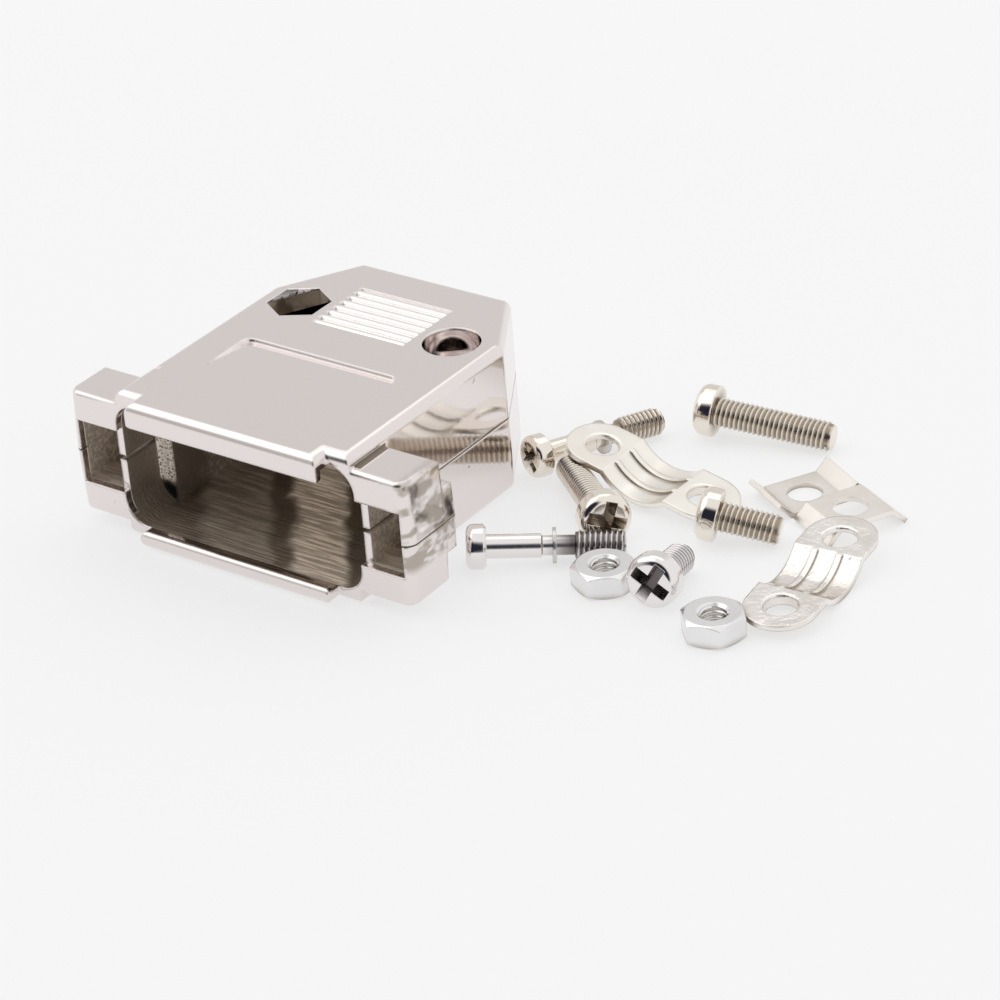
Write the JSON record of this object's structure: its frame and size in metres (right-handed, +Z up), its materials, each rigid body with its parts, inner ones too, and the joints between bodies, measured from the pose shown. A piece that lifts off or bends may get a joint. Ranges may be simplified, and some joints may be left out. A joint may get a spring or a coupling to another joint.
{
  "type": "d-sub connector hood",
  "caption": "Closed two-part cast metal backshell for a d-sub connector, with its screws, jackscrews, nuts, cable clamp saddles and retainer plates lying loose beside it.",
  "frame": {"origin": "hood's flat base, in the middle of its width, under the front plane of the ears", "axes": "+X across the hood, +Y from the connector mouth back to the cable exit, +Z up from the base"},
  "size_m": [0.0728, 0.0488, 0.0159],
  "materials": {
    "plated_casting": "bright nickel plated casting",
    "plated_screw": "bright nickel plate",
    "spring_steel": "plated spring ring",
    "zinc_nut": "bright zinc plate",
    "pressed_strap": "tumbled nickel plate",
    "pressed_plate": "satin tinned sheet"
  },
  "bodies": {
    "root": {"lower_shell": "plated_casting", "upper_shell": "plated_casting", "long_screw_far": "plated_screw", "long_screw_near": "plated_screw", "short_screw_rear": "plated_screw", "short_screw_front": "plated_screw", "jackscrew_front": "plated_screw", "jackscrew_rear": "plated_screw", "jack_ring_front": "spring_steel", "jack_ring_rear": "spring_steel", "hex_nut_left": "zinc_nut", "hex_nut_right": "zinc_nut", "clamp_saddle_rear": "pressed_strap", "clamp_saddle_front": "pressed_strap", "retainer_plate_upright": "pressed_plate", "retainer_plate_turned": "pressed_plate"}
  },
  "joints": []
}
